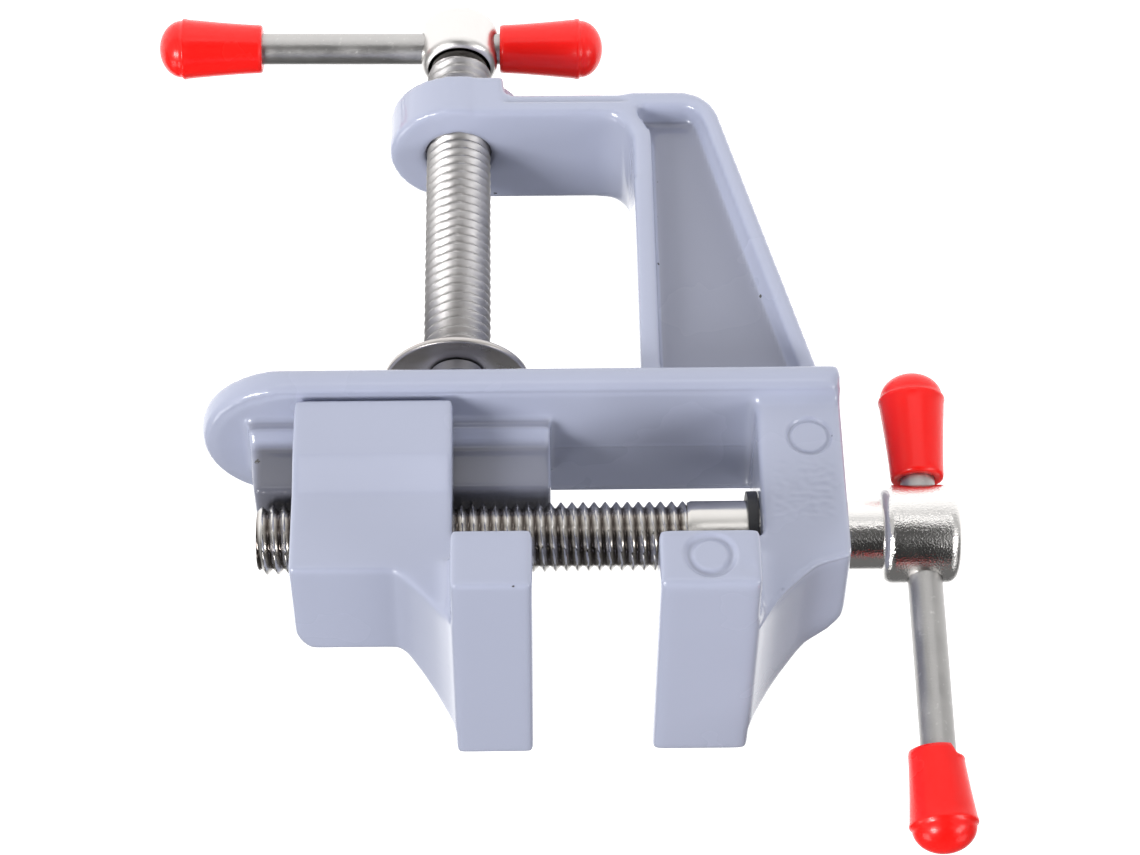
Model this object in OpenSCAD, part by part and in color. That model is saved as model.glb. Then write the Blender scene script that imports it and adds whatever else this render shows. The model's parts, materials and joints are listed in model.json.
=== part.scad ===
// Small clamp-on table vise. Z up, X along the lead screw, Y across the jaws.
// Origin: on the clamp screw's axis, in the underside of the plate that rests on the table.

/* [Jaws] */
// Width of both jaw noses
jaw_w = 35; // [24:0.5:50]
// Height of the jaw tips above the table seat
jaw_top = 34.3; // [32:0.1:45]
// Height of the nose bar
nose_h = 7.3; // [4:0.1:9]
// Thickness of the moving nose
moving_nose_t = 8.8; // [5:0.1:12]
// Thickness of the fixed nose
fixed_nose_t = 10.9; // [6:0.1:12]
// How far the web under a nose stands back from the clamping face
web_back = 2; // [0.5:0.1:4]
// Opening between the jaws as stored
jaw_gap = 13.5; // [2:0.1:26]
// Most that the jaws open
jaw_gap_max = 28.5; // [26:0.5:29]

/* [Moving jaw body] */
// Length along the lead screw
moving_body_l = 17.9; // [14:0.1:22]
// Width of both jaw bodies
body_w = 16.4; // [14:0.1:20]
// Width of the foot that slides on the plate
foot_w = 19.2; // [17:0.1:20.5]
// Height of the foot's straight sides above the seat
foot_top = 11.5; // [8:0.1:13]
// Height where the foot has narrowed to the body
waist_top = 16; // [14:0.1:18]
// Height of the moving jaw's shoulder
moving_top = 26; // [23:0.1:30]
// Length of the sloping gusset behind the moving nose
moving_gusset_l = 6.3; // [4:0.1:9]
// Corner radius on the underside's outer edge
body_corner_r = 5; // [2:0.1:7]

/* [Fixed jaw body] */
// Length along the lead screw
fixed_body_l = 9.65; // [8:0.05:14]
// From the body's inner face to the clamping face
fixed_overhang = 12; // [11:0.1:16]
// Height of the fixed jaw's shoulder
fixed_top = 25.6; // [23:0.1:29]
// How far that shoulder falls towards the outer face
shoulder_fall = 1.2; // [0:0.1:2]
// Length of the sloping gusset behind the fixed nose
fixed_gusset_l = 7; // [4:0.1:9]
// Step from the gusset's upper end to the jaw tip
gusset_lip = 0.6; // [0.2:0.1:2]
// Radius of the gusset's hollow
gusset_r = 25; // [12:0.5:40]
// Radius where a gusset's upper side meets its nose
nose_fillet = 2.2; // [1:0.1:3]
// How far a gusset flares out towards its nose, on the side that lies down
gusset_flare = 5.1; // [1:0.1:6]
// Where that flare begins, from the gusset's lower end
flare_start = 0.8; // [0.5:0.1:2]

/* [Plate and rail] */
// Thickness of the plate
plate_t = 3.45; // [2.5:0.05:5]
// Width of the plate
plate_w = 21.2; // [20.6:0.1:28]
// Plate's reach to the left of the clamp screw
plate_left = 29.4; // [26:0.1:40]
// Plate's reach to the right of the clamp screw
plate_right = 43.75; // [42:0.05:60]
// Rail's reach to the left of the clamp screw
rail_left = 23.7; // [20:0.1:25.5]
// Rail's reach to the right of the clamp screw
rail_right = 10.8; // [6:0.1:14]
// Width of the rail's foot
rail_foot_w = 10; // [8:0.1:12]
// Height of the rail's foot
rail_foot_h = 2.35; // [1.5:0.05:3]
// Width of the rail's upright
rail_w = 7; // [4:0.1:7.5]
// Gap between the rail's top and the lead screw
rail_under = 0.35; // [0.2:0.05:3]
// How far the moving jaw's slot opens into its bore
slot_into_bore = 0.8; // [0.5:0.1:1.5]
// Slope of the rail's left end, in degrees
rail_draft = 6; // [0:0.5:10]

/* [Arm] */
// Height of the throat that takes the table
throat_h = 40.3; // [34:0.1:60]
// Depth of the throat from the clamp screw
throat_d = 21.2; // [16:0.1:24]
// Radius in the throat's corner
throat_r = 4; // [1:0.1:5]
// Width of the arm and spine
arm_w = 16.5; // [14:0.1:20]
// Thickness of the arm
arm_t = 3.4; // [2.6:0.05:5]
// Diameter of the threaded boss
boss_d = 17; // [14:0.1:20]
// Thickness of the threaded boss
boss_t = 6; // [5:0.05:9]
// Boss's straight reach towards the spine
boss_reach = 5.6; // [5:0.1:9]
// Width of the spine at the arm
spine_top_l = 9.5; // [8:0.1:14]
// Width of the spine at the plate
spine_foot_l = 20.5; // [16:0.1:22]
// Radius of the spine's outer corner
spine_r = 5; // [3:0.1:6]
// Width of the rim next to the throat
rim_in = 2.3; // [1.5:0.1:3]
// Width of the sloping outer rim
rim_out = 1.9; // [1.2:0.1:3]
// Height of the step between the pocket and the plate
pocket_step = 0.6; // [0.3:0.1:2]
// Depth of the pocket in each side of the spine
pocket_depth = 3; // [1:0.1:5]

/* [Screws] */
// Diameter over the threads of both screws
screw_d = 7.9; // [7:0.1:8.5]
// Thread pitch
pitch = 1.25; // [1:0.05:1.5]
// Depth of the thread
thread_depth = 0.6; // [0.3:0.05:0.7]
// Height of the lead screw above the seat
lead_z = 16.4; // [15:0.1:18]
// Lead screw's reach from the fixed body's inner face
lead_reach = 56.4; // [54:0.1:62]
// Plain shank inside the fixed body's inner face
shank_l = 8.2; // [4:0.1:12]
// Plain neck between the fixed body and the head
neck_l = 4.2; // [2:0.1:8]
// Lead screw's head diameter
lead_head_d = 11.1; // [10:0.1:14]
// Lead screw's head length
lead_head_l = 8.7; // [8:0.1:12]
// From the lead head's inner face to its cross hole
lead_hole_in = 4.7; // [3.5:0.1:5]
// Clamp screw's length from its shoulder to its head
clamp_l = 47.2; // [44:0.1:60]
// Clamp screw's head diameter
clamp_head_d = 9.6; // [9:0.1:13]
// Clamp screw's head length
clamp_head_l = 7; // [6:0.1:10]
// Rounding of the heads' edges
head_r = 1.3; // [0.3:0.1:1.4]
// Thickness of the retaining ring
ring_t = 1.2; // [0.8:0.1:1.6]
// Outer diameter of the retaining ring
ring_d = 10; // [9:0.1:12]
// Depth of the ring's groove in the shank
ring_groove = 0.75; // [0.4:0.05:1.2]

/* [Pressure disc] */
// Diameter of the dished disc
disc_d = 17.2; // [14:0.1:20]
// Thickness of the disc's sheet
disc_t = 0.9; // [0.6:0.1:1.5]
// Depth of the dish
dish_h = 1.6; // [1:0.1:3]
// Gap between the disc's rim and the plate as stored
disc_gap = 5; // [4.5:0.1:12]
// Diameter of the clamp screw's end pin
pin_d = 4.4; // [3:0.1:5]
// Diameter of the pin's peened button
button_d = 6.4; // [5.5:0.1:7]
// Height of the peened button
button_h = 0.9; // [0.5:0.1:1.2]

/* [Handles] */
// Diameter of the sliding handle bars
bar_d = 3.9; // [3:0.1:4.5]
// Length of a handle bar
bar_l = 52; // [48:0.5:70]
// Length of a cap
cap_l = 13; // [10:0.1:16]
// Diameter at a cap's open end
cap_open_d = 6.1; // [5.2:0.1:8]
// Diameter at a cap's ridge
cap_ridge_d = 7.7; // [6.5:0.1:9]
// Height of a cap's ridge
cap_ridge_h = 0.5; // [0.3:0.1:2]
// Step from a cap's ridge to its dome
cap_step = 0.3; // [0.1:0.1:1]
// Height of a cap's dome
cap_dome_h = 3; // [2:0.1:4]
// Thickness of a cap's closed end
cap_end_t = 2; // [1:0.1:3]
// Length of the lead handle's upper cap, which is trimmed
trimmed_cap_l = 11.7; // [9:0.1:13]
// Thickness of that cap's closed end
trimmed_cap_end_t = 2.9; // [1:0.1:4]
// Lead handle bar's place along itself, from its middle
lead_bar_shift = 8.4; // [0:0.1:8.5]
// Lead handle bar's turn from upright, in degrees
lead_bar_turn = 12; // [-180:1:180]
// Lead handle bar's lean towards its own end of the vise, in degrees
lead_bar_lean = 0.8; // [0:0.1:2]
// Clamp handle bar's place along itself, from its middle
clamp_bar_shift = -9.9; // [-10:0.1:0]
// Clamp handle bar's turn from the lead screw's direction, in degrees
clamp_bar_turn = -0.6; // [-180:0.1:180]

/* [Fits] */
// Radial clearance of a shaft that turns or slides in a hole
run_fit = 0.05; // [0.02:0.01:0.1]
// Clearance between sliding castings
slide_fit = 0.3; // [0.15:0.05:0.4]
// End clearance of the retaining ring and the disc
end_fit = 0.1; // [0.05:0.05:0.2]

/* [Hidden] */
$fn = 96;

paint = [0.70, 0.72, 0.80];
steel = [0.75, 0.74, 0.72];
black = [0.10, 0.10, 0.11];
red = [0.90, 0.08, 0.08];

// Length that a cut runs past a face
past = 1;
// Length that one solid of a casting is sunk into the next
sunk = 1;

screw_r = screw_d / 2;
fixed_out = plate_right;
fixed_in = fixed_out - fixed_body_l;
fixed_face = fixed_in - fixed_overhang;
fixed_back = fixed_face + fixed_nose_t;
moving_face = fixed_face - jaw_gap;
moving_back = moving_face - moving_nose_t;
moving_left = moving_back - moving_body_l;
nose_bottom = jaw_top - nose_h;
rail_foot_top = plate_t + rail_foot_h;
rail_top = lead_z - screw_r - rail_under;
web_bottom = lead_z + ring_d / 2 + slide_fit;
arm_bottom = -throat_h - arm_t;
boss_bottom = -throat_h - boss_t;
spine_top_x = throat_d + spine_top_l;
spine_foot_x = throat_d + spine_foot_l;
spine_lean = atan2(spine_foot_l - spine_top_l, -arm_bottom);
lead_head_x = fixed_out + neck_l;
lead_bar_x = lead_head_x + lead_hole_in;
disc_top = -disc_gap;
disc_floor = disc_top - dish_h;
clamp_shoulder = disc_floor - disc_t - end_fit;
clamp_head_z = clamp_shoulder - clamp_l;
clamp_bar_z = clamp_head_z - clamp_head_l / 2;
cap_mouth = bar_l / 2 - cap_l + cap_end_t;
trimmed_mouth = bar_l / 2 - trimmed_cap_l + trimmed_cap_end_t;

// Farthest that the moving jaw and the clamp screw travel from the stored pose
echo(jaw_close = jaw_gap, jaw_open = jaw_gap_max - jaw_gap, disc_close = disc_gap);
echo(disc_open = throat_h + clamp_shoulder);
echo(bar_x = lead_bar_x, bar_z = clamp_bar_z, faces = [moving_face, fixed_face]);
echo(lead_bar_play = [trimmed_mouth - lead_head_d / 2, cap_mouth - lead_head_d / 2]);
echo(clamp_bar_play = cap_mouth - clamp_head_d / 2);

// Solid made of an X-Z outline, centred on Y
module across(width) {
    translate([0, width / 2, 0]) rotate([90, 0, 0]) linear_extrude(width) children();
}

// Solid made of a Y-Z outline, from one X to another
module along(from_x, to_x) {
    translate([from_x, 0, 0]) rotate([90, 0, 90]) linear_extrude(to_x - from_x) children();
}

// Box from one corner to the opposite one
module block(low, high) {
    translate(low) cube(high - low);
}

// Turned solid on the X axis, from an outline of radius and X
module turned_x() {
    rotate([0, 90, 0]) rotate_extrude() children();
}

// What a concave fillet adds in a square corner that opens towards +X and +Y
module fillet(r) {
    difference() {
        translate([-sunk, -sunk]) square(r + sunk);
        translate([r, r]) circle(r);
        translate([r, -sunk]) square(r + sunk);
        translate([-sunk, r]) square(r + sunk);
    }
}

// What rounding a square corner takes away, for a corner whose solid lies towards +X and +Y
module corner_cut(r) {
    difference() {
        translate([-past, -past]) square(r + past);
        translate([r, r]) circle(r);
    }
}

// Wedge with a hollow slope that rises from (0, 0) by height over length, and ends on an upright back
module gusset_outline(length, height) {
    chord = norm([length, height]);
    hollow = [length / 2, height / 2] + [-height, length] / chord * sqrt(gusset_r ^ 2 - (chord / 2) ^ 2);
    difference() {
        polygon([[0, 0], [length, height], [length + sunk, height], [length + sunk, -sunk], [0, -sunk]]);
        translate(hollow) circle(gusset_r);
    }
}

// Gusset behind a nose: the slope is as wide as the body, with a fillet to the nose's back on the upper
// side and a flare on the side that lies down
module gusset(length, top) {
    height = jaw_top - gusset_lip - top;
    intersection() {
        translate([-length, 0, top]) across(jaw_w) gusset_outline(length, height);
        translate([0, 0, top - sunk]) linear_extrude(height + sunk) {
            polygon([
                [-length, body_w / 2], [-length, -body_w / 2], [flare_start - length, -body_w / 2],
                [0, -body_w / 2 - gusset_flare], [sunk, -body_w / 2 - gusset_flare], [sunk, body_w / 2]
            ]);
            translate([0, body_w / 2]) mirror([1, 0]) fillet(nose_fillet);
        }
    }
}

// Plate with a round left end
module plate() {
    linear_extrude(plate_t) {
        translate([plate_w / 2 - plate_left, 0]) circle(d = plate_w);
        translate([plate_w / 2 - plate_left, -plate_w / 2])
            square([plate_right + plate_left - plate_w / 2, plate_w]);
    }
}

// End view of the rail that guides the moving jaw, grown by a clearance for the jaw's slot
module rail_section(clear, low, top) {
    foot = rail_foot_w / 2 + clear;
    upright = rail_w / 2 + clear;
    translate([-foot, low]) square([2 * foot, rail_foot_top + clear - low]);
    translate([-upright, low]) square([2 * upright, top - low]);
}

module rail() {
    lean = (rail_top - plate_t) * tan(rail_draft);
    intersection() {
        along(-rail_left, rail_right) rail_section(0, plate_t - sunk, rail_top);
        across(plate_w) polygon([
            [-rail_left, plate_t - sunk], [-rail_left, plate_t],
            [lean - rail_left, rail_top], [rail_right, rail_top], [rail_right, plate_t - sunk]
        ]);
    }
}

// Corner where the arm's outer face runs into the leaning spine, rounded with radius r
module spine_corner_cut(r, corner) {
    half = (90 + spine_lean) / 2;
    inward = [sin(spine_lean) - 1, cos(spine_lean)];
    centre = corner + inward / norm(inward) * r / sin(half);
    tangent = r / tan(half);
    lean_dir = [sin(spine_lean), cos(spine_lean)];
    difference() {
        polygon([
            corner - [tangent, 0], corner - [tangent, past], corner + [past, -past],
            corner + lean_dir * tangent + [past, 0], corner + lean_dir * tangent, centre
        ]);
        translate(centre) circle(r);
    }
}

// Side view of the arm and spine
module spine_outline() {
    difference() {
        union() {
            polygon([
                [throat_d, plate_t / 2], [throat_d, -throat_h], [0, -throat_h], [0, arm_bottom],
                [spine_top_x, arm_bottom], [spine_foot_x, 0], [spine_foot_x, plate_t / 2]
            ]);
            translate([throat_d, -throat_h]) mirror([1, 0]) fillet(throat_r);
        }
        spine_corner_cut(spine_r, [spine_top_x, arm_bottom]);
    }
}

// Side view of the pocket between the spine's rims
module pocket_outline() {
    rim_x = rim_out / cos(spine_lean);
    top = arm_bottom + rim_in;
    top_x = spine_top_x + rim_in * tan(spine_lean) - rim_x;
    foot_x = spine_foot_x - pocket_step * tan(spine_lean) - rim_x;
    bend = [throat_d - throat_r, throat_r - throat_h];
    difference() {
        polygon([
            [throat_d + rim_in, -pocket_step], [foot_x, -pocket_step], [top_x, top],
            [bend.x, top], bend, [throat_d + rim_in, bend.y]
        ]);
        translate(bend) circle(throat_r + rim_in);
        spine_corner_cut(spine_r - rim_out, [top_x, top]);
    }
}

// C-shaped arm with its boss for the clamp screw
module arm() {
    difference() {
        union() {
            across(arm_w) spine_outline();
            translate([0, 0, boss_bottom]) cylinder(d = boss_d, h = boss_t);
            block([0, -arm_w / 2, boss_bottom], [boss_reach, arm_w / 2, -throat_h]);
            across(arm_w) translate([boss_reach, arm_bottom]) mirror([0, 1]) fillet((boss_t - arm_t) / 2);
        }
        for (side = [0, 1]) mirror([0, side, 0])
            translate([0, arm_w / 2 + past, 0]) rotate([90, 0, 0])
                linear_extrude(pocket_depth + past) pocket_outline();
    }
}

// Web that carries a nose, from one X to another
module web(from_x, to_x) {
    block([from_x, -body_w / 2, web_bottom], [to_x, body_w / 2, nose_bottom + sunk]);
}

// Outer corner of a jaw body, on the side that lies down, seen from above
module outer_corner_cut(x, wide, top) {
    translate([x, -wide / 2, plate_t]) linear_extrude(top) corner_cut(body_corner_r);
}

module fixed_jaw() {
    difference() {
        across(body_w) polygon([
            [fixed_in, plate_t - sunk], [fixed_out, plate_t - sunk], [fixed_out, fixed_top - shoulder_fall],
            [fixed_back + fixed_gusset_l, fixed_top], [fixed_in, fixed_top]
        ]);
        translate([fixed_out, 0, 0]) mirror([1, 0, 0]) outer_corner_cut(0, body_w, fixed_top);
    }
    block([fixed_face, -jaw_w / 2, nose_bottom], [fixed_back, jaw_w / 2, jaw_top]);
    web(fixed_face + web_back, fixed_in + sunk);
    translate([fixed_back, 0, 0]) mirror([1, 0, 0]) gusset(fixed_gusset_l, fixed_top);
}

// Casting: plate, rail, fixed jaw and clamp arm in one piece
module frame() color(paint) {
    difference() {
        union() {
            plate();
            rail();
            arm();
            fixed_jaw();
        }
        translate([fixed_in - past, 0, lead_z]) rotate([0, 90, 0])
            cylinder(r = screw_r + run_fit, h = fixed_body_l + 2 * past);
        translate([0, 0, boss_bottom - past]) cylinder(r = screw_r + run_fit, h = boss_t + 2 * past);
    }
}

// End view of the moving jaw's body, wider at the foot
module moving_section() {
    foot_low = plate_t + slide_fit;
    polygon([
        [foot_w / 2, foot_low], [foot_w / 2, foot_top], [body_w / 2, waist_top], [body_w / 2, moving_top],
        [-body_w / 2, moving_top], [-body_w / 2, waist_top], [-foot_w / 2, foot_top], [-foot_w / 2, foot_low]
    ]);
}

// Casting that runs along the rail, threaded for the lead screw
module moving_jaw() color(paint) {
    difference() {
        union() {
            difference() {
                along(moving_left, moving_back) moving_section();
                outer_corner_cut(moving_left, foot_w, moving_top);
            }
            block([moving_back, -jaw_w / 2, nose_bottom], [moving_face, jaw_w / 2, jaw_top]);
            web(moving_back - sunk, moving_face - web_back);
            translate([moving_back, 0, 0]) gusset(moving_gusset_l, moving_top);
        }
        along(moving_left - past, moving_face + past)
            rail_section(slide_fit, 0, lead_z - screw_r + slot_into_bore);
        translate([moving_left - past, 0, lead_z]) rotate([0, 90, 0])
            cylinder(r = screw_r + run_fit, h = moving_body_l + 2 * past);
    }
}

// Outline of ringed thread, as radius and length, from one length to another
function thread_points(from, to) = let (turns = floor((to - from) / pitch)) [
    for (i = [0 : turns - 1]) each [
        [screw_r - thread_depth, from + i * pitch],
        [screw_r, from + (i + 0.45) * pitch],
        [screw_r, from + (i + 0.55) * pitch]
    ],
    [screw_r - thread_depth, from + turns * pitch]
];

// Outline of a round-edged head from one length to another
function head_points(r, from, to) = [
    for (a = [0 : 15 : 90]) [r - head_r + head_r * sin(a), from + head_r - head_r * cos(a)],
    for (a = [0 : 15 : 90]) [r - head_r + head_r * cos(a), to - head_r + head_r * sin(a)],
    [0, to]
];

// Lead screw: thread, plain shank with the ring's groove, and a cross-drilled head
module lead_screw() color(steel) {
    start = fixed_in - lead_reach;
    plain = fixed_in - shank_l;
    groove = fixed_in - end_fit - ring_t;
    difference() {
        translate([0, 0, lead_z]) turned_x() polygon(concat(
            [[0, start]],
            thread_points(start, plain),
            [
                [screw_r, plain + pitch / 2], [screw_r, groove],
                [screw_r - ring_groove, groove], [screw_r - ring_groove, groove + ring_t],
                [screw_r, groove + ring_t], [screw_r, lead_head_x]
            ],
            head_points(lead_head_d / 2, lead_head_x, lead_head_x + lead_head_l)
        ));
        lead_bar_place() bar_rod(bar_d / 2 + run_fit, lead_head_d + 2 * past);
    }
}

// Ring that keeps the lead screw from pulling out of the fixed jaw
module retaining_ring() color(black) {
    translate([fixed_in - end_fit - ring_t, 0, lead_z]) rotate([0, 90, 0]) difference() {
        cylinder(d = ring_d, h = ring_t);
        translate([0, 0, -past]) cylinder(r = screw_r - ring_groove, h = ring_t + 2 * past);
    }
}

// Clamp screw: cross-drilled head, thread, and an end pin that is peened over inside the disc
module clamp_screw() color(steel) {
    thread_from = clamp_head_z + pitch;
    thread_to = clamp_shoulder - (clamp_shoulder - thread_from) % pitch;
    button_low = disc_floor + end_fit;
    difference() {
        rotate_extrude() polygon(concat(
            [[0, clamp_head_z - clamp_head_l]],
            [for (p = head_points(clamp_head_d / 2, clamp_head_z - clamp_head_l, clamp_head_z)) if (p.x > 0) p],
            [[screw_r, clamp_head_z], [screw_r, thread_from - pitch / 4]],
            thread_points(thread_from, thread_to),
            [
                [screw_r - thread_depth, clamp_shoulder], [pin_d / 2, clamp_shoulder],
                [pin_d / 2, button_low], [button_d / 2, button_low],
                [button_d / 2 - button_h / 2, button_low + button_h], [0, button_low + button_h]
            ]
        ));
        clamp_bar_place() bar_rod(bar_d / 2 + run_fit, clamp_head_d + 2 * past);
    }
}

// Dished sheet-steel disc that presses on the table from below
module pressure_disc() color(steel) {
    hole = pin_d / 2 + run_fit;
    flat = disc_d / 4;
    rim = disc_d / 2;
    rotate_extrude() polygon([
        [hole, disc_floor - disc_t], [flat, disc_floor - disc_t], [rim, disc_top - disc_t],
        [rim, disc_top], [flat, disc_floor], [hole, disc_floor]
    ]);
}

// Place of each handle bar: its length on Z, its middle at the head's cross hole
module lead_bar_place() {
    translate([lead_bar_x, 0, lead_z]) rotate([lead_bar_turn, 0, 0]) rotate([0, lead_bar_lean, 0]) children();
}

module clamp_bar_place() {
    translate([0, 0, clamp_bar_z]) rotate([0, 0, clamp_bar_turn]) rotate([0, 90, 0]) children();
}

module bar_rod(r, length) {
    translate([0, 0, -length / 2]) cylinder(r = r, h = length);
}

// Moulded cap with its open end at the origin and its dome towards +Z
module cap(length, end_t) {
    ridge_z = length - cap_dome_h;
    ridge_r = cap_ridge_d / 2;
    dome_r = ridge_r - cap_step;
    difference() {
        rotate_extrude() polygon(concat(
            [[0, 0], [cap_open_d / 2, 0], [ridge_r, ridge_z - cap_ridge_h], [ridge_r, ridge_z]],
            [for (a = [0 : 10 : 90]) [dome_r * cos(a), ridge_z + cap_dome_h * sin(a)]]
        ));
        translate([0, 0, -past]) cylinder(d = bar_d, h = length - end_t + past);
    }
}

// Cap in its place over one end of a bar
module cap_on(end) {
    mirror([0, 0, end < 0 ? 1 : 0]) translate([0, 0, cap_mouth]) cap(cap_l, cap_end_t);
}

module lead_bar() color(steel) lead_bar_place() translate([0, 0, lead_bar_shift]) bar_rod(bar_d / 2, bar_l);

module lead_cap_upper() color(red) lead_bar_place()
    translate([0, 0, lead_bar_shift + trimmed_mouth]) cap(trimmed_cap_l, trimmed_cap_end_t);

module lead_cap_lower() color(red) lead_bar_place() translate([0, 0, lead_bar_shift]) cap_on(-1);

module clamp_bar() color(steel) clamp_bar_place() translate([0, 0, clamp_bar_shift]) bar_rod(bar_d / 2, bar_l);

module clamp_cap_right() color(red) clamp_bar_place() translate([0, 0, clamp_bar_shift]) cap_on(1);

module clamp_cap_left() color(red) clamp_bar_place() translate([0, 0, clamp_bar_shift]) cap_on(-1);

frame();
moving_jaw();
lead_screw();
retaining_ring();
lead_bar();
lead_cap_lower();
lead_cap_upper();
clamp_screw();
pressure_disc();
clamp_bar();
clamp_cap_left();
clamp_cap_right();
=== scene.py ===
import json
import math

import bmesh
import bpy
from mathutils import Matrix, Vector, geometry, noise


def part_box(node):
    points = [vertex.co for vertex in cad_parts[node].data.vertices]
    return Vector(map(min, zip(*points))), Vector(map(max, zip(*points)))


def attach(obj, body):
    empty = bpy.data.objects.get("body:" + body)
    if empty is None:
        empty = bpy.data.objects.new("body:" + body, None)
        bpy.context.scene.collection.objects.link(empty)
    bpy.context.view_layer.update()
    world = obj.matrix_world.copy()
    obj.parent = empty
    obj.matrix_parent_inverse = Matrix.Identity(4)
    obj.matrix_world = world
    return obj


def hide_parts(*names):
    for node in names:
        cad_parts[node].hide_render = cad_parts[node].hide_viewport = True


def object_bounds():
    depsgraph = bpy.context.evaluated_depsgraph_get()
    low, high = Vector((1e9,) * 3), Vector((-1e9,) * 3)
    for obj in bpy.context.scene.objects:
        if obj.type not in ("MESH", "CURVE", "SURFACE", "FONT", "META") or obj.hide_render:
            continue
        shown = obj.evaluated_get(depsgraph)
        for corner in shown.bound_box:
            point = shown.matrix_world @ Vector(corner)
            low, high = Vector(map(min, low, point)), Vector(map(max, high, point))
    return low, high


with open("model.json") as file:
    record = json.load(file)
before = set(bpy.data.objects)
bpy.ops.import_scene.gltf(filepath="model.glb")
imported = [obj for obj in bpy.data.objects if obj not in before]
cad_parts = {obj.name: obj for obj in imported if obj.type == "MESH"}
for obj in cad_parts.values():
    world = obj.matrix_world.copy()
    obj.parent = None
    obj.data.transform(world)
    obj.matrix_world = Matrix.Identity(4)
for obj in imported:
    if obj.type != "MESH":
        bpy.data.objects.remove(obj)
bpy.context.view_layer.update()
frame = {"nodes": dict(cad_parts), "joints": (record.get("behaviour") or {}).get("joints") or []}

# Frame: plate, rail, fixed jaw and clamp arm, die-cast in one piece from aluminium.
# Glossy lilac-grey paint covers it and rounds every edge. The die left ejector marks, a parting
# line and flash on it, the metal rippled where it filled last, and the paint is chipped here and there.
# Shade is painted darker into the paint in the pockets of the arm and spine and along the rail.
mm = 0.001


def placed(mesh, name):
    """Smooth-shaded object of that name for a finished mesh, in the scene."""
    mesh.shade_smooth()
    made = bpy.data.objects.new(name, mesh)
    bpy.context.scene.collection.objects.link(made)
    return made


def as_mesh(work, name):
    """Mesh of what was built so far, without the normals that came with the CAD."""
    mesh = bpy.data.meshes.new(name)
    work.to_mesh(mesh)
    work.free()
    if mesh.has_custom_normals:
        mesh.attributes.remove(mesh.attributes["custom_normal"])
    return mesh


def baked(rough, name):
    """Plain mesh of an object with its modifiers applied, in place of that object."""
    graph = bpy.context.evaluated_depsgraph_get()
    mesh = bpy.data.meshes.new_from_object(rough.evaluated_get(graph))
    bpy.data.objects.remove(rough)
    mesh.name = name
    return mesh


def merged_copy(node):
    """Closed copy of a CAD node's loose triangles."""
    work = bmesh.new()
    work.from_mesh(frame["nodes"][node].data)
    bmesh.ops.remove_doubles(work, verts=work.verts, dist=0.001 * mm)
    return work


def add_prism(work, near, far):
    """Closed prism between two outlines that have the same number of corners, in millimetres."""
    ends = [[work.verts.new(Vector(corner) * mm) for corner in outline] for outline in (near, far)]
    faces = [work.faces.new(ends[0]), work.faces.new(ends[1])]
    for i in range(len(near)):
        faces.append(work.faces.new((ends[0][i - 1], ends[0][i], ends[1][i], ends[1][i - 1])))
    bmesh.ops.recalc_face_normals(work, faces=faces)


def cast_skin(work, name, cell, rounding):
    """One even skin over overlapping solids, its edges rounded by so many passes in each region."""
    rough = placed(as_mesh(work, name), name + "_rough")
    even = rough.modifiers.new("even_skin", "REMESH")
    even.mode = "VOXEL"
    even.voxel_size = cell
    skin = bmesh.new()
    skin.from_mesh(baked(rough, name))
    for passes, region in rounding:
        chosen = [v for v in skin.verts if region(v.co / mm)]
        for _ in range(passes):
            bmesh.ops.smooth_vert(
                skin, verts=chosen, factor=0.5, use_axis_x=True, use_axis_y=True, use_axis_z=True)
    return skin


def everywhere(p):
    return True


def refine(work, low, high, cuts):
    """Finer faces inside a box, in millimetres."""
    def inside(p):
        return all(a * mm < q < b * mm for a, q, b in zip(low, p, high))
    edges = [e for e in work.edges if inside(e.verts[0].co) and inside(e.verts[1].co)]
    bmesh.ops.subdivide_edges(work, edges=edges, cuts=cuts, use_grid_fill=True)


def step(value, low, high):
    """Smooth step from 0 at low to 1 at high."""
    t = min(max((value - low) / (high - low), 0.0), 1.0)
    return t * t * (3 - 2 * t)


def fade(value, low, high):
    """Smooth step from 1 at low down to 0 at high."""
    return 1 - step(value, low, high)


def press_dent(work, centre, mouth_r, floor_r, depth, core=1.0):
    """Round dent in a face that looks along +Y, whose core is pressed in by a share of the depth."""
    x, y, z = centre
    reach, skin = mouth_r + 0.5, 0.6
    refine(work, (x - reach, y - skin, z - reach), (x + reach, y + skin, z + reach), 2)
    wall = mouth_r - floor_r
    for v in work.verts:
        away = math.hypot(v.co.x / mm - x, v.co.z / mm - z)
        if away < mouth_r and abs(v.co.y / mm - y) < skin:
            ring = step(mouth_r - away, 0, wall) - (1 - core) * step(floor_r - away, 0, wall)
            v.co.y -= depth * mm * ring


def ripple(work, low, high, length, height, depth):
    """Shallow scallops in a face that looks along +Y, fading out towards the box's ends."""
    fade_l = 1.5
    refine(work, low, high, 1)
    for v in work.verts:
        p = v.co / mm
        if all(a < q < b for a, q, b in zip(low, p, high)):
            inward = math.prod(step(min(p[i] - low[i], high[i] - p[i]), 0, fade_l) for i in (0, 2))
            v.co.y += depth * mm * inward * noise.noise((p.x / length, 0.0, p.z / height))


def raise_line(work, points, width, height):
    """Thin raised line over a surface, along points in millimetres."""
    margin = 1
    low = [min(p[i] for p in points) - margin for i in range(3)]
    high = [max(p[i] for p in points) + margin for i in range(3)]
    refine(work, low, high, 1)
    work.normal_update()
    spans = [(Vector(a), Vector(b)) for a, b in zip(points, points[1:])]
    for v in work.verts:
        p = v.co / mm
        if all(a < q < b for a, q, b in zip(low, p, high)):
            away = width
            for a, b in spans:
                foot, share = geometry.intersect_point_line(p, a, b)
                if 0 <= share <= 1:
                    away = min(away, (p - foot).length)
            v.co += v.normal * height * mm * fade(away, 0, width)


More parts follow.
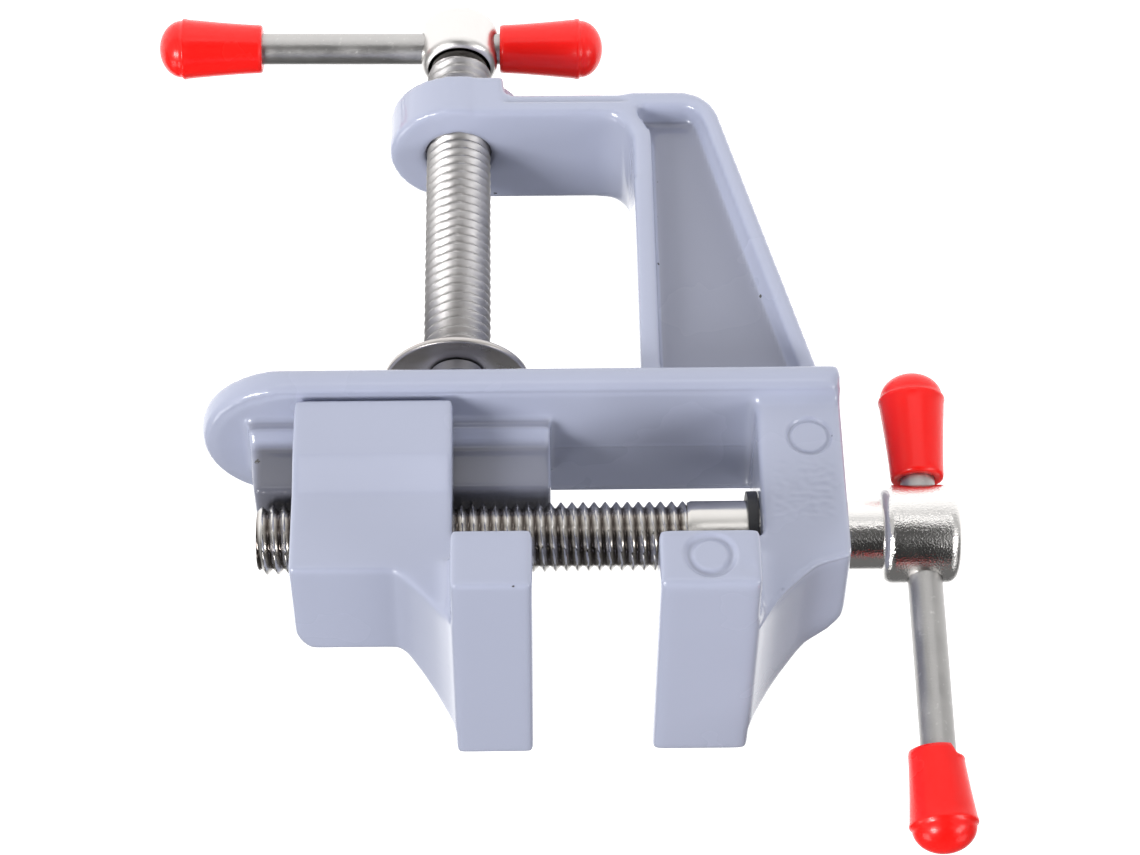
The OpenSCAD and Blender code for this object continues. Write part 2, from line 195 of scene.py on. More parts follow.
pocket_mouth, pocket_sunk, overlap = 8.0, 4.9, 0.3
outer_wall = ((29.3, -41.4), (39.7, 0.0))
upper_wall = ((14.0, -41.4), (29.6, -41.4))
outer_draft, upper_draft = 0.75, 0.55
corner_x, corner_top, corner_fill = 23.5, 0.2, 1.5
corner_low = -corner_fill - 2 * overlap

work = merged_copy("frame")
for side in (-1, 1):
    mouth, sunk = side * pocket_mouth, side * pocket_sunk
    add_prism(work, *[((x + overlap, mouth, z), (x + overlap, sunk, z), (x - outer_draft, sunk, z))
                      for x, z in outer_wall])
    add_prism(work, *[((x, mouth, z - overlap), (x, sunk, z - overlap), (x, sunk, z + upper_draft))
                      for x, z in upper_wall])
    add_prism(work, *[((corner_x - overlap, y, corner_low), (corner_x - overlap, y, corner_top),
                       (corner_x + corner_fill, y, corner_top)) for y in (mouth, sunk)])

plate_top, plate_end_x, plate_rim_r, under_plate = 3.45, -18.8, 9.0, -0.8
rail_from_x, rail_to_x, rail_from_z, rail_end_x = -24.5, 11.3, 3.2, 10.5
rail_foot_y, ledge_y, ledge_z, ledge_slope = 5.0, 3.6, 5.8, 0.55
screw_z, bore_from_x, bore_r = 16.4, 33.5, 5.2


def bold_frame(p):
    """All but the arm, the rail and the lead screw's bore."""
    rail = rail_from_x < p.x < rail_to_x and abs(p.y) < rail_foot_y + 0.6 and p.z > rail_from_z
    bore = p.x > bore_from_x and math.hypot(p.y, p.z - screw_z) < bore_r
    return p.z > under_plate and not rail and not bore


def arm(p):
    return p.z < under_plate


def throat_corner(p):
    """Hollow where the arm turns into the spine."""
    return 13.5 < p.x < 23.2 and -40.4 < p.z < -30


def plate_rim(p):
    """Upper edge of the plate, which is rounded the most."""
    round_end = p.x < plate_end_x and math.hypot(p.x - plate_end_x, p.y) > plate_rim_r
    return 1.7 < p.z < 4.2 and (abs(p.y) > plate_rim_r or round_end)


work = cast_skin(work, "frame_casting", 0.395 * mm, (
    (3, everywhere), (9, bold_frame), (2, arm), (16, throat_corner), (26, plate_rim)))
work.normal_update()
parting_y, parting_draft, top_skin = -0.5, math.tan(math.radians(1.6)), 0.25
for v in work.verts:
    if abs(v.co.z / mm - plate_top) < top_skin:
        v.co.z -= step(v.normal.z, 0.7, 0.95) * abs(v.co.y - parting_y * mm) * parting_draft


def painted_shade_amount(p, normal):
    """How much shade is painted into the paint: about 1 in the pockets and on the rail's foot, where shade
    falls, and more on the rail's web, as the moving jaw's painted shadow.
    """
    pocket = step(abs(normal.y), 0.6, 0.9) * fade(p.z, -1.6, under_plate) * fade(abs(p.y), 5.6, 6.3)
    along_rail = fade(p.x, rail_end_x, rail_end_x + 0.25)
    foot = step(abs(p.y), 4.5, 4.9) * fade(abs(p.y), 5.2, 5.4) * step(p.z, 3.5, 3.9) * fade(p.z, 5.1, 5.5)
    web = step(p.z, 5.6, 6.6) * fade(abs(p.y), 3.7, 4.2) * step(p.x, -24, -22)
    # Deeper painted shadow on the rail's web, darkest from the moving jaw leftwards and fading towards the
    # rail's right end.
    jaw_shadow_amount = 1.3 + 0.5 * fade(p.x, -1, 9)
    return max(pocket, 0.9 * foot * along_rail, jaw_shadow_amount * web * along_rail)


# Painted shade for each vertex, which the paint reads to darken its colour; above 1 it is painted shadow.
painted_shade = work.verts.layers.float.new("painted_shade")
for v in work.verts:
    p = v.co / mm
    v[painted_shade] = painted_shade_amount(p, v.normal)
    if rail_from_x < p.x < rail_to_x and ledge_y < abs(p.y) < rail_foot_y + 0.3 and p.z > 4.2:
        v.co.z -= ledge_slope * (abs(p.y) - ledge_y) * step(p.z, 4.2, ledge_z - 0.3) * mm
raise_line(work, [(11.2, parting_y, plate_top), (33.6, parting_y, plate_top)], width=0.3, height=0.08)
flash_x, flash_y, flash_z, flash_r = 54.98, 7.9, 45.62, 25.3
flash = [(43.4, flash_y, 24.3)]
for degrees in (-126.8, -133, -139.2, -145.4, -151.5):
    a = math.radians(degrees)
    flash.append((flash_x + flash_r * math.cos(a), flash_y, flash_z + flash_r * math.sin(a)))
raise_line(work, flash, width=0.55, height=0.3)
strip_from_y, strip_depth = 7.4, 0.4
refine(work, (5.0, strip_from_y, -43.8), (22.0, 8.8, -41.0), 1)
for v in work.verts:
    p = v.co / mm
    if p.y > strip_from_y:
        along_arm = step(p.x, 5.2, 6.2) * fade(p.x, 19.5, 21.5)
        v.co.y -= strip_depth * mm * along_arm * fade(p.z, -42.1, -41.8)
body_y, nose_y = 8.2, 17.5
press_dent(work, (27.5, nose_y, 30.5), mouth_r=3.1, floor_r=2.35, depth=0.5, core=0.35)
press_dent(work, (39.85, body_y, 8.45), mouth_r=2.75, floor_r=2.3, depth=0.42, core=0.45)
press_dent(work, (31.5, nose_y, 32.2), mouth_r=1.2, floor_r=0.4, depth=0.08)
ripple(work, (34.6, body_y - 0.6, 11.0), (43.2, body_y + 0.6, 20.5), length=0.9, height=0.6, depth=0.09)
frame_casting = placed(as_mesh(work, "frame_casting"), "frame_casting")


def add(tree, kind, values=(), **settings):
    """New node in a tree, with its settings, and its inputs set or linked."""
    node = tree.nodes.new(kind)
    for key, value in settings.items():
        setattr(node, key, value)
    for key, value in dict(values).items():
        if isinstance(value, bpy.types.NodeSocket):
            tree.links.new(value, node.inputs[key])
        else:
            node.inputs[key].default_value = value
    return node


def surface_group():
    """Shader group that several finishes share: slow patches, fine grain, and small flecks."""
    tree = bpy.data.node_groups.new("surface_grain", "ShaderNodeTree")
    for key in ("Patch Scale", "Grain Scale", "Fleck Scale", "Fleck Share"):
        tree.interface.new_socket(key, in_out="INPUT", socket_type="NodeSocketFloat")
    for key in ("Patch", "Grain", "Fleck"):
        tree.interface.new_socket(key, in_out="OUTPUT", socket_type="NodeSocketFloat")
    given = tree.nodes.new("NodeGroupInput").outputs
    spot = add(tree, "ShaderNodeTexCoord").outputs["Object"]
    patch = add(tree, "ShaderNodeTexNoise", {"Vector": spot, "Scale": given["Patch Scale"], "Detail": 3.0})
    grain = add(tree, "ShaderNodeTexNoise", {"Vector": spot, "Scale": given["Grain Scale"], "Detail": 2.0})
    fleck = add(tree, "ShaderNodeTexNoise", {"Vector": spot, "Scale": given["Fleck Scale"], "Detail": 4.0})
    edge = add(tree, "ShaderNodeMath", {0: 0.9, 1: given["Fleck Share"]}, operation="SUBTRACT")
    cut = add(tree, "ShaderNodeMapRange", {
        "Value": fleck.outputs["Fac"], "From Min": edge.outputs[0], "From Max": 0.9})
    add(tree, "NodeGroupOutput", {
        "Patch": patch.outputs["Fac"], "Grain": grain.outputs["Fac"], "Fleck": cut.outputs["Result"]})
    return tree


surface_grain = surface_group()


def cover(tree, under, share, colour):
    """Colour that hides what is under it by a share."""
    first_colour, second_colour, mixed_colour = 6, 7, 2
    mixed = add(tree, "ShaderNodeMix", {
        0: share, first_colour: under, second_colour: (*colour, 1)}, data_type="RGBA")
    return mixed.outputs[mixed_colour]


def finish(name, light, dark, rough, patch_scale, grain_scale, grain_depth,
           fleck=(0, 0, 0), fleck_scale=500.0, fleck_share=0.0, **principled):
    """Material whose colour, gloss and skin vary over the surface."""
    made = bpy.data.materials.new(name)
    made.use_nodes = True
    tree = made.node_tree
    shader = tree.nodes["Principled BSDF"]
    for key, value in principled.items():
        shader.inputs[key.replace("_", " ")].default_value = value
    grain = add(tree, "ShaderNodeGroup", node_tree=surface_grain)
    for key, value in (("Patch Scale", patch_scale), ("Grain Scale", grain_scale),
                       ("Fleck Scale", fleck_scale), ("Fleck Share", fleck_share)):
        grain.inputs[key].default_value = value
    tone = cover(tree, (*dark, 1), grain.outputs["Patch"], light)
    spotted = cover(tree, tone, grain.outputs["Fleck"], fleck)
    gloss = add(tree, "ShaderNodeMapRange", {
        "Value": grain.outputs["Patch"], "From Min": 0.3, "From Max": 0.7,
        "To Min": rough[0], "To Max": rough[1]})
    skin = add(tree, "ShaderNodeBump", {
        "Height": grain.outputs["Grain"], "Strength": 1.0, "Distance": grain_depth})
    tree.links.new(spotted, shader.inputs["Base Color"])
    tree.links.new(gloss.outputs["Result"], shader.inputs["Roughness"])
    tree.links.new(skin.outputs["Normal"], shader.inputs["Normal"])
    return made


lilac_paint = finish("lilac_paint", (0.425, 0.452, 0.578), (0.405, 0.432, 0.555), (0.2, 0.3),
                     patch_scale=60.0, grain_scale=700.0, grain_depth=0.012 * mm,
                     Coat_Weight=0.7, Coat_Roughness=0.06, Specular_IOR_Level=0.2)
# Colours of the painted shade, of the deeper painted shadow on the rail's web, and of bare metal in the
# chips.
painted_shade_lilac, painted_shadow_lilac, bare_metal = (0.27, 0.283, 0.362), (0.11, 0.11, 0.128), (0.07, 0.065, 0.06)
paint = lilac_paint.node_tree
paint_shader = paint.nodes["Principled BSDF"]
fresh = paint_shader.inputs["Base Color"].links[0].from_socket
# The fresh colour is darkened by the painted shade, then by the painted shadow on the rail's web.
painted_shade_share = add(paint, "ShaderNodeAttribute", attribute_name="painted_shade").outputs["Fac"]
painted_shadow_share = add(paint, "ShaderNodeMapRange", {
    "Value": painted_shade_share, "From Min": 1.0, "From Max": 2.0}).outputs["Result"]
shade_painted_colour = cover(paint, cover(paint, fresh, painted_shade_share, painted_shade_lilac), painted_shadow_share, painted_shadow_lilac)
paint_spot = add(paint, "ShaderNodeTexCoord").outputs["Object"]
ragged = add(paint, "ShaderNodeTexNoise", {
    "Vector": paint_spot, "Scale": 3500.0, "Detail": 2.0}).outputs["Fac"]
chips = (((24.8, 6.5, -3.9), 0.7), ((24.2, 5.6, -31.4), 0.4), ((24.1, 5.6, -25.9), 0.35),
         ((23.8, 5.6, -18.6), 0.35), ((35.7, 5.6, -13.6), 0.4), ((42.3, 8.2, 8.4), 0.4),
         ((33.5, 8.2, 6.7), 0.3), ((33.4, 8.2, 12.0), 0.3), ((4.4, -7.0, -40.3), 0.4),
         ((6.5, 17.3, 34.3), 0.4), ((-22.5, 3.5, 8.0), 0.6), ((-21.2, 5.2, 3.4), 0.35))
near = 0.0
for place, reach in chips:
    away = add(paint, "ShaderNodeVectorMath", {0: paint_spot, 1: Vector(place) * mm}, operation="DISTANCE")
    hit = add(paint, "ShaderNodeMapRange", {
        "Value": away.outputs["Value"], "From Min": reach * mm, "From Max": 0.0}).outputs["Result"]
    near = add(paint, "ShaderNodeMath", {0: near, 1: hit}, operation="MAXIMUM").outputs[0]
chipped = add(paint, "ShaderNodeMath", {0: near, 1: ragged}, operation="MULTIPLY").outputs[0]
bare_share = add(paint, "ShaderNodeMapRange", {
    "Value": chipped, "From Min": 0.2, "From Max": 0.3}).outputs["Result"]
paint.links.new(cover(paint, shade_painted_colour, bare_share, bare_metal), paint_shader.inputs["Base Color"])
frame_casting.data.materials.append(lilac_paint)
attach(frame_casting, "frame")
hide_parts("frame")

# Moving jaw: a second casting in the same paint, slotted underneath to run on the rail
# and tapped along its length for the lead screw.
jaw_bore_r, slot_half, slot_top = 5.0, 5.8, 13.0


def bold_jaw(p):
    """All but the bore, the slot and the creases along the sides."""
    bore = math.hypot(p.y, p.z - screw_z) < jaw_bore_r
    slot = abs(p.y) < slot_half and p.z < slot_top
    crease = 9.5 < p.z < 18 and abs(p.y) > 7 and -17 < p.x < -1.5
    return not (bore or slot or crease)


work = cast_skin(merged_copy("moving_jaw"), "jaw_casting", 0.3 * mm, (
    (3, everywhere), (10, bold_jaw)))
jaw_casting = placed(as_mesh(work, "jaw_casting"), "jaw_casting")
jaw_casting.data.materials.append(lilac_paint)
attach(jaw_casting, "moving_jaw")
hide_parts("moving_jaw")

# Lead screw: turned steel with a rolled right-hand thread and a plain shank, plated bright,
# with brown oil in the thread. Its cross-drilled head is plated over a pitted skin.
lead_low, lead_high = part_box("lead_screw")
lead_z = (lead_low.z + lead_high.z) / 2
shank_start, ring_groove_x = 26.0 * mm, 33.95 * mm
nickel = finish("nickel", (0.72, 0.70, 0.675), (0.60, 0.58, 0.555), (0.16, 0.28),
                patch_scale=220.0, grain_scale=1800.0, grain_depth=0.008 * mm,
                fleck=(0.34, 0.31, 0.28), fleck_scale=1100.0, fleck_share=0.22, Metallic=1.0)
oil_brown, oil_top_r, oil_full_r = (0.20, 0.175, 0.16), 3.65 * mm, 3.3 * mm
plate = nickel.node_tree
plate_shader = plate.nodes["Principled BSDF"]
clean = plate_shader.inputs["Base Color"].links[0].from_socket
screw_spot = add(plate, "ShaderNodeTexCoord").outputs["Object"]
across = add(plate, "ShaderNodeVectorMath", {0: screw_spot, 1: (0, 1, 1)}, operation="MULTIPLY").outputs[0]
from_axis = add(plate, "ShaderNodeVectorMath", {0: across, 1: (0, 0, lead_z)}, operation="DISTANCE")
oil = add(plate, "ShaderNodeMapRange", {
    "Value": from_axis.outputs["Value"], "From Min": oil_top_r, "From Max": oil_full_r}).outputs["Result"]
screw_x = add(plate, "ShaderNodeSeparateXYZ", {0: screw_spot}).outputs["X"]
threaded = add(plate, "ShaderNodeMath", {0: screw_x, 1: shank_start}, operation="LESS_THAN").outputs[0]
oily = add(plate, "ShaderNodeMath", {0: oil, 1: threaded}, operation="MULTIPLY").outputs[0]
plate.links.new(cover(plate, clean, oily, oil_brown), plate_shader.inputs["Base Color"])
pitted_nickel = finish("pitted_nickel", (0.84, 0.82, 0.80), (0.76, 0.74, 0.72), (0.10, 0.18),
                       patch_scale=300.0, grain_scale=4600.0, grain_depth=0.045 * mm, Metallic=1.0)


def thread_tree():
    """Tree that bends a flat grid into a helical thread along X, with a chamfered start."""
    tree = bpy.data.node_groups.new("rolled_thread", "GeometryNodeTree")
    for key, kind in (("Length", "Float"), ("Radius", "Float"), ("Depth", "Float"), ("Pitch", "Float"),
                      ("Rows", "Int"), ("Round", "Int"), ("Finish", "Material")):
        tree.interface.new_socket(key, in_out="INPUT", socket_type="NodeSocket" + kind)
    tree.interface.new_socket("Geometry", in_out="OUTPUT", socket_type="NodeSocketGeometry")
    given = tree.nodes.new("NodeGroupInput").outputs

    def calc(operation, *values, clamp=False):
        node = add(tree, "ShaderNodeMath", enumerate(values), operation=operation, use_clamp=clamp)
        return node.outputs[0]

    land, seam = 0.1, 1e-6
    grid = add(tree, "GeometryNodeMeshGrid", {
        "Size X": given["Length"], "Size Y": 1.0,
        "Vertices X": given["Rows"], "Vertices Y": given["Round"]})
    spot = add(tree, "GeometryNodeInputPosition").outputs[0]
    flat = add(tree, "ShaderNodeSeparateXYZ", {0: spot}).outputs
    along = calc("ADD", flat["X"], calc("MULTIPLY", given["Length"], 0.5))
    phase = calc("FRACT", calc("SUBTRACT", calc("DIVIDE", along, given["Pitch"]), flat["Y"]))
    flank = calc("ABSOLUTE", calc("SUBTRACT", calc("MULTIPLY", phase, 2.0), 1.0))
    rounded = calc("SUBTRACT", calc("MULTIPLY", flank, 1 + 2 * land), land, clamp=True)
    cut = calc("MULTIPLY", rounded, given["Depth"])
    start = calc("SUBTRACT", given["Depth"], along)
    deep = calc("MAXIMUM", cut, start)
    radius = calc("SUBTRACT", given["Radius"], deep)
    angle = calc("MULTIPLY", flat["Y"], math.tau)
    place = add(tree, "ShaderNodeCombineXYZ", {
        "X": along, "Y": calc("MULTIPLY", radius, calc("COSINE", angle)),
        "Z": calc("MULTIPLY", radius, calc("SINE", angle))})
    bent = add(tree, "GeometryNodeSetPosition", {
        "Geometry": grid.outputs["Mesh"], "Position": place.outputs[0]})
    joined = add(tree, "GeometryNodeMergeByDistance", {"Geometry": bent.outputs[0], "Distance": seam})
    real = add(tree, "GeometryNodeRealizeInstances", {0: joined.outputs[0]})
    painted = add(tree, "GeometryNodeSetMaterial", {
        "Geometry": real.outputs[0], "Material": given["Finish"]})
    add(tree, "NodeGroupOutput", {0: painted.outputs[0]})
    return tree


rolled_thread = thread_tree()
screw_r, thread_pitch, rows_per_pitch, points_round = 3.95 * mm, 1.25 * mm, 10, 65


def thread_mesh(length, depth, material, place):
    """Closed mesh of a thread of that length, moved to its place from the X axis."""
    rough = placed(bpy.data.meshes.new("thread"), "thread_rough")
    maker = rough.modifiers.new("thread", "NODES")
    maker.node_group = rolled_thread
    sizes = {"Length": length, "Radius": screw_r, "Depth": depth, "Pitch": thread_pitch,
             "Rows": round(length / thread_pitch * rows_per_pitch), "Round": points_round, "Finish": material}
    for socket in rolled_thread.interface.items_tree:
        if socket.name in sizes:
            maker[socket.identifier] = sizes[socket.name]
    work = bmesh.new()
    work.from_mesh(baked(rough, "thread"))
    bmesh.ops.holes_fill(work, edges=[e for e in work.edges if e.is_boundary], sides=0)
    bmesh.ops.recalc_face_normals(work, faces=work.faces)
    bmesh.ops.transform(work, matrix=place, verts=work.verts)
    return as_mesh(work, "thread")


def cut_copy(node, name, keep, material, thread=None):
    """Closed copy of what is kept of a CAD node, joined to a thread if one is given."""
    work = merged_copy(node)
    bmesh.ops.delete(work, geom=[v for v in work.verts if not keep(v.co)], context="VERTS")
    bmesh.ops.holes_fill(work, edges=[e for e in work.edges if e.is_boundary], sides=0)
    if thread:
        work.from_mesh(thread)
    mesh = as_mesh(work, name)
    made = placed(mesh, name)
    mesh.set_sharp_from_angle(angle=math.radians(40))
    mesh.materials.clear()
    mesh.materials.append(material)
    for face in mesh.polygons:
        face.material_index = 0
    return made


lead_depth, run_out = 0.68 * mm, 0.5 * mm
lead_thread = thread_mesh(shank_start - lead_low.x + run_out, lead_depth, nickel,
                          Matrix.Translation((lead_low.x, 0, lead_z)))
lead_screw = cut_copy("lead_screw", "lead_screw_turned", lambda p: shank_start < p.x < ring_groove_x,
                      nickel, lead_thread)
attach(lead_screw, "lead_screw")
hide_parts("lead_screw")
lead_head = cut_copy("lead_screw", "lead_head", lambda p: p.x > ring_groove_x, pitted_nickel)
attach(lead_head, "lead_screw")

# Retaining ring: a black spring-steel ring snapped into a groove in the shank,
# where it keeps the lead screw in the fixed jaw.
black_oxide = finish("black_oxide", (0.03, 0.03, 0.033), (0.015, 0.015, 0.017), (0.4, 0.55),
                     patch_scale=300.0, grain_scale=1500.0, grain_depth=0.01 * mm)
frame["nodes"]["retaining_ring"].data.materials.clear()
frame["nodes"]["retaining_ring"].data.materials.append(black_oxide)

# Handle bars: drawn steel rods under thin plating that has gone grey, free to slide
# through the screw heads.
worn_plating = finish("worn_plating", (0.55, 0.54, 0.525), (0.40, 0.39, 0.385), (0.32, 0.44),
                      patch_scale=260.0, grain_scale=3800.0, grain_depth=0.02 * mm,
                      fleck=(0.75, 0.74, 0.72), fleck_scale=1500.0, fleck_share=0.28, Metallic=1.0)
for bar in ("lead_bar", "clamp_bar"):
    frame["nodes"][bar].data.materials.clear()
    frame["nodes"][bar].data.materials.append(worn_plating)

# Caps: red vinyl, moulded with a bead below the dome and pushed over the ends of the bars.
# The lead handle's upper cap sits askew, and its rim is torn.
red_vinyl = finish("red_vinyl", (0.97, 0.012, 0.009), (0.92, 0.008, 0.006), (0.24, 0.28),
                   patch_scale=150.0, grain_scale=900.0, grain_depth=0.006 * mm,
                   Coat_Weight=0.15, Coat_Roughness=0.1, Specular_IOR_Level=0.3,
                   Subsurface_Weight=0.4, Subsurface_Radius=(1.0, 0.1, 0.1), Subsurface_Scale=1.5 * mm)
bar_half = 26.0
cap_mouth_r, cap_ridge_r, cap_bore_r, cap_bore_l, cap_dome_h = 3.05, 3.84, 1.97, 3.0, 3.0


def turned(work, outline, count, place, bend=None):
    """Solid turned about Z from an outline of radius and height in millimetres, both ends on the axis."""
    rings = []
    for r, z in outline:
        angles = [0.0] if r == 0 else [math.tau * i / count for i in range(count)]
        points = [Vector((r * math.cos(a), r * math.sin(a), z)) for a in angles]
        rings.append([work.verts.new(place @ (bend(p) if bend else p) * mm) for p in points])
    for low, high in zip(rings, rings[1:]):
        for i in range(count):
            if len(low) == 1:
                corners = [low[0], high[i], high[i - 1]]
            elif len(high) == 1:
                corners = [low[i - 1], low[i], high[0]]
            else:
                corners = [low[i - 1], low[i], high[i], high[i - 1]]
            work.faces.new(corners)
    bmesh.ops.recalc_face_normals(work, faces=work.faces)


def cap_outline(length):
    """Half of a cap's section, from the bore's end round the mouth to the top of the dome."""
    steps = 12
    ridge_z = length - cap_dome_h
    widening = cap_ridge_r - 0.1 - cap_mouth_r
    flare = [(cap_mouth_r + widening * (i / steps) ** 1.3, 0.5 + (ridge_z - 1.1) * i / steps)
             for i in range(steps + 1)]
    dome = [((cap_ridge_r - 0.25) * math.cos(a), ridge_z + 0.15 + (cap_dome_h - 0.15) * math.sin(a))
            for a in (math.pi / 2 * i / steps for i in range(steps))]
    mouth = [(0, cap_bore_l), (cap_bore_r, cap_bore_l), (cap_bore_r, 0.05), (cap_bore_r + 0.05, 0.0),
             (cap_mouth_r - 0.3, 0.0), (cap_mouth_r - 0.08, 0.1)]
    ridge = [(cap_ridge_r - 0.02, ridge_z - 0.35), (cap_ridge_r, ridge_z - 0.15),
             (cap_ridge_r - 0.04, ridge_z)]
    return [*mouth, *flare, *ridge, *dome, (0, length)]


def torn(p):
    """Rim torn back on one side, the torn lip standing out a little."""
    turn = math.degrees(math.atan2(p.y, p.x))
    share = step(turn, -35, 5) * fade(turn, 48, 62) * fade(p.z, 0, 1.8)
    spread = 1 + 0.04 * share
    return Vector((p.x * spread, p.y * spread, p.z + 1.1 * share))


def cap_piece(node, joint, end, length, reach, tilt=0.0, bend=None):
    """Cap over one end of a bar, in place of its CAD node."""
    low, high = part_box(joint.replace("_slide", ""))
    slide = next(j for j in frame["joints"] if j["name"] == joint)
    way = Vector(slide["axis"]) * end
    beside = Vector((0, 1, 0)) if abs(way.x) < 0.5 else Vector((0, 0, 1))
    side = beside.cross(way).normalized()
    ridge = Matrix.Translation((0, 0, length - cap_dome_h))
    lean = ridge @ Matrix.Rotation(math.radians(tilt), 4, "Y") @ ridge.inverted()
    rim = Matrix.Translation((low + high) / 2 / mm + way * (bar_half - reach))
    turn = Matrix((side, way.cross(side), way)).transposed().to_4x4()
    place = rim @ turn @ lean
    work = bmesh.new()
    turned(work, cap_outline(length), 64, place, bend)
    made = placed(as_mesh(work, node + "_moulded"), node + "_moulded")
    made.data.materials.append(red_vinyl)
    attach(made, slide["child"])
    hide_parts(node)


cap_piece("lead_cap_lower", "lead_bar_slide", end=-1, length=13.0, reach=11.0)
cap_piece("lead_cap_upper", "lead_bar_slide", end=1, length=11.65, reach=8.8, tilt=2.4, bend=torn)
cap_piece("clamp_cap_left", "clamp_bar_slide", end=-1, length=13.0, reach=11.0)
cap_piece("clamp_cap_right", "clamp_bar_slide", end=1, length=13.0, reach=11.0)

# Clamp screw: the same rolled thread, satin plated, with its cross-drilled head at the
# bottom and its upper end peened over inside the pressure disc.
satin_screw = finish("satin_screw", (0.56, 0.545, 0.54), (0.48, 0.465, 0.46), (0.42, 0.52),
                     patch_scale=220.0, grain_scale=1800.0, grain_depth=0.006 * mm,
                     fleck=(0.55, 0.52, 0.50), fleck_scale=1100.0, fleck_share=0.15, Metallic=1.0)
thread_low, thread_high, clamp_depth = -54.0 * mm, -7.7 * mm, 0.55 * mm
clamp_thread = thread_mesh(thread_high - thread_low, clamp_depth, satin_screw,
                           Matrix.Translation((0, 0, thread_high)) @ Matrix.Rotation(math.pi / 2, 4, "Y"))
clamp_screw = cut_copy("clamp_screw", "clamp_screw_turned", lambda p: p.z > thread_high,
                       satin_screw, clamp_thread)
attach(clamp_screw, "clamp_screw")
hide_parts("clamp_screw")
satin_nickel = finish("satin_nickel", (0.78, 0.76, 0.74), (0.70, 0.68, 0.66), (0.28, 0.38),
                      patch_scale=300.0, grain_scale=4200.0, grain_depth=0.012 * mm, Metallic=1.0)
clamp_head = cut_copy("clamp_screw", "clamp_head", lambda p: p.z < thread_low, satin_nickel)
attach(clamp_head, "clamp_screw")

# Pressure disc: a dished washer pressed from plated sheet steel, its rim rolled round,
# that turns on the screw's end.
disc_rim_r, disc_top, disc_floor, disc_t = 8.6, -5.0, -6.6, 0.9
dish = [(3.9, disc_floor), (4.6, disc_floor + 0.08), (5.4, disc_floor + 0.32), (6.3, disc_floor + 0.68),
        (7.2, disc_floor + 1.06), (7.9, disc_floor + 1.36)]
rim = [(8.15, disc_top - 0.12), (8.33, disc_top), (8.5, disc_top - 0.08), (disc_rim_r, disc_top - 0.35),
       (disc_rim_r - 0.05, disc_top - 0.65), (8.35, disc_top - 0.85)]
under = [(r - 0.1, z - disc_t) for r, z in reversed(dish)]
work = bmesh.new()
hub_top = [(0, disc_floor - 0.2), (2.3, disc_floor - 0.2), (2.35, disc_floor)]
hub_low = [(2.35, disc_floor - disc_t), (2.3, disc_floor - 0.6), (0, disc_floor - 0.6)]
turned(work, [*hub_top, *dish, *rim, *under, *hub_low], 96, Matrix.Identity(4))
disc = placed(as_mesh(work, "pressure_disc_pressed"), "pressure_disc_pressed")
grey_sheet = finish("grey_sheet", (0.60, 0.57, 0.55), (0.50, 0.47, 0.45), (0.26, 0.36),
                    patch_scale=300.0, grain_scale=4200.0, grain_depth=0.012 * mm, Metallic=1.0)
disc.data.materials.append(grey_sheet)
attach(disc, "pressure_disc")
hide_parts("pressure_disc")

# Floor, light and camera: a white floor that glows where the view meets it, low enough for the
# clamp handle's travel, a wide white room with dark openings, six soft lamps, and the
# photograph's view.
clamp_drop, half_w = 34 * mm, 4.0
floor_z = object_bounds()[0].z - clamp_drop
floor_corners = [(x, y, floor_z) for x, y in (
    (-half_w, -half_w), (half_w, -half_w), (half_w, half_w), (-half_w, half_w))]
floor_mesh = bpy.data.meshes.new("floor")
floor_mesh.from_pydata(floor_corners, [], [(0, 1, 2, 3)])
floor = placed(floor_mesh, "floor")
white = bpy.data.materials.new("white_floor")
white.use_nodes = True
floor_tree = white.node_tree
floor_shader = floor_tree.nodes["Principled BSDF"]
for key, value in (
        ("Base Color", (0.4, 0.4, 0.4, 1)), ("Roughness", 0.9), ("Emission Color", (1, 1, 1, 1))):
    floor_shader.inputs[key].default_value = value
floor_spot = add(floor_tree, "ShaderNodeTexCoord").outputs["Object"]
glow_centre, glow_r, dim_r = (0.015, -0.155, floor_z), 0.18, 0.62
away = add(floor_tree, "ShaderNodeVectorMath", {0: floor_spot, 1: glow_centre}, operation="DISTANCE")
glow = add(floor_tree, "ShaderNodeMapRange", {
    "Value": away.outputs["Value"], "From Min": glow_r, "From Max": dim_r, "To Min": 0.95, "To Max": 0.25},
    interpolation_type="SMOOTHSTEP")
floor_tree.links.new(glow.outputs["Result"], floor_shader.inputs["Emission Strength"])
floor_mesh.materials.append(white)

world = bpy.data.worlds.new("studio")
bpy.context.scene.world = world
world.use_nodes = True
room = world.node_tree
way = add(room, "ShaderNodeTexCoord").outputs["Generated"]


def shaded(lean, inner, outer, share):
    """Light that a round dark patch leaves, around a direction leaning from +Z to +Y by so many degrees."""
    middle = (0, math.sin(math.radians(lean)), math.cos(math.radians(lean)))
    facing = add(room, "ShaderNodeVectorMath", {0: way, 1: middle}, operation="DOT_PRODUCT")
    return add(room, "ShaderNodeMapRange", {
        "Value": facing.outputs["Value"], "To Min": 1.0, "To Max": share,
        "From Min": math.cos(math.radians(outer)), "From Max": math.cos(math.radians(inner))},
        interpolation_type="SMOOTHSTEP").outputs["Result"]


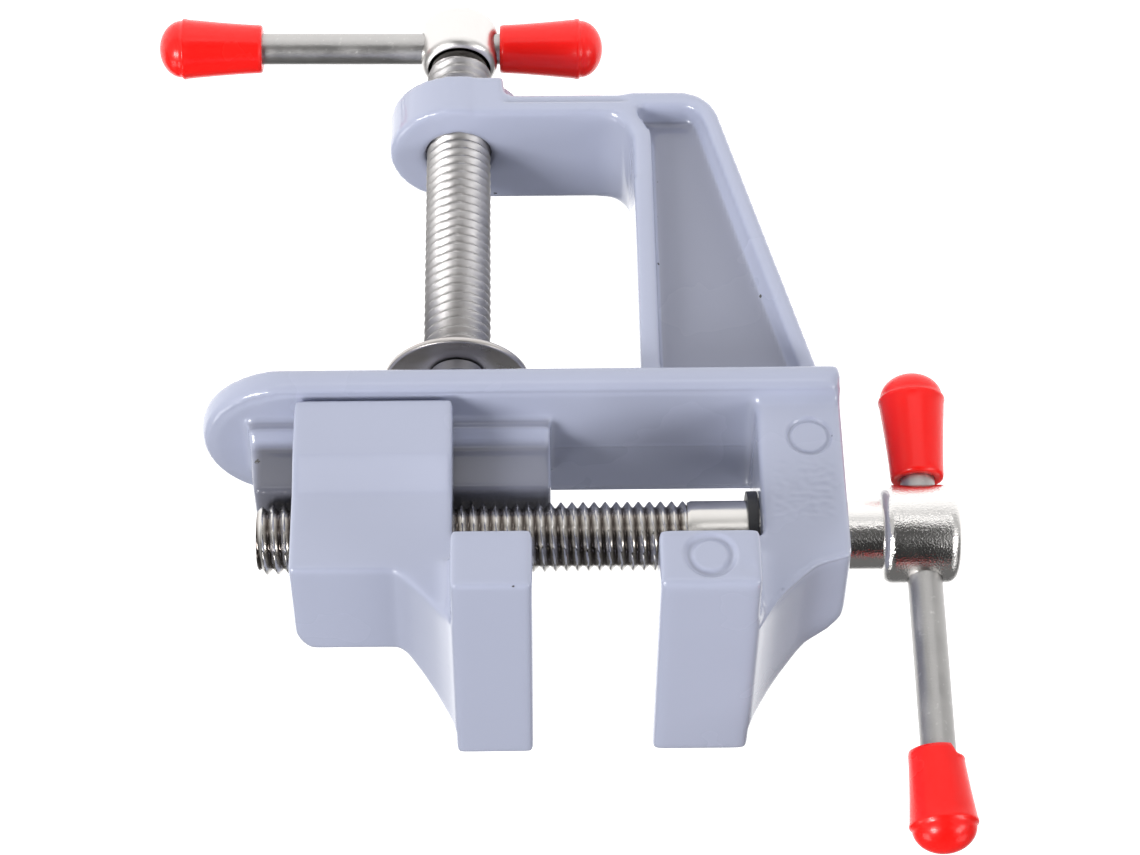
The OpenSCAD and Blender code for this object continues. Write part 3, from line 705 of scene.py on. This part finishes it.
room_light, table_light = 0.70, 0.17
height = add(room, "ShaderNodeSeparateXYZ", {0: way}).outputs["Y"]
light = add(room, "ShaderNodeMapRange", {
    "Value": height, "From Min": -0.15, "From Max": 0.05, "To Min": table_light, "To Max": room_light},
    interpolation_type="SMOOTHSTEP").outputs["Result"]
for left in (shaded(lean=12, inner=22, outer=32, share=0.05), shaded(lean=58, inner=18, outer=27, share=0.14),
             shaded(lean=154, inner=12, outer=26, share=0.4)):
    light = add(room, "ShaderNodeMath", {0: light, 1: left}, operation="MULTIPLY").outputs[0]
room.nodes["Background"].inputs["Color"].default_value = (1, 1, 1, 1)
room.links.new(light, room.nodes["Background"].inputs["Strength"])


def soft_light(name, place, size, power):
    """Rectangular lamp that shines towards the origin."""
    lamp = bpy.data.lights.new(name, "AREA")
    lamp.shape = "RECTANGLE"
    lamp.size, lamp.size_y = size
    lamp.energy = power
    obj = bpy.data.objects.new(name, lamp)
    bpy.context.scene.collection.objects.link(obj)
    obj.location = place
    obj.rotation_euler = (-Vector(place)).to_track_quat("-Z", "Y").to_euler()


soft_light("key", (-0.58, 0.34, 0.74), size=(0.35, 0.35), power=7.6)
soft_light("low_left", (-0.65, -0.35, 0.65), size=(0.4, 0.4), power=1.7)
soft_light("low_right", (0.65, -0.35, 0.65), size=(0.4, 0.4), power=0.6)
soft_light("right", (0.7, 0.25, 0.55), size=(0.3, 0.5), power=2.5)
soft_light("overhead", (0.1, 0.757, -0.189), size=(0.7, 0.6), power=1.2)
soft_light("strip", (0.05, 0.738, -0.254), size=(0.7, 0.06), power=0.7)

bpy.context.scene.view_settings.view_transform = "Standard"

view_el, view_az, view_roll = math.radians(54.07), math.radians(-1.28), math.radians(0.52)
view_place = Vector((8.33, 295.5, 215.2)) * mm
picture_px, focal_px, film_w = 1140, 3151, 36
level = math.cos(view_el)
back = Vector((math.sin(view_az) * level, math.sin(view_el), math.cos(view_az) * level))
right = Vector((0, 1, 0)).cross(back).normalized()
up = back.cross(right)
rolled_right = math.cos(view_roll) * right + math.sin(view_roll) * up
rolled_up = back.cross(rolled_right)
camera = bpy.data.objects.new("camera", bpy.data.cameras.new("camera"))
bpy.context.scene.collection.objects.link(camera)
view_turn = Matrix((rolled_right, rolled_up, back)).transposed().to_4x4()
camera.matrix_world = Matrix.Translation(view_place) @ view_turn
camera.data.sensor_width = film_w
camera.data.lens = film_w * focal_px / picture_px
camera.data.clip_start = 0.01
bpy.context.scene.camera = camera
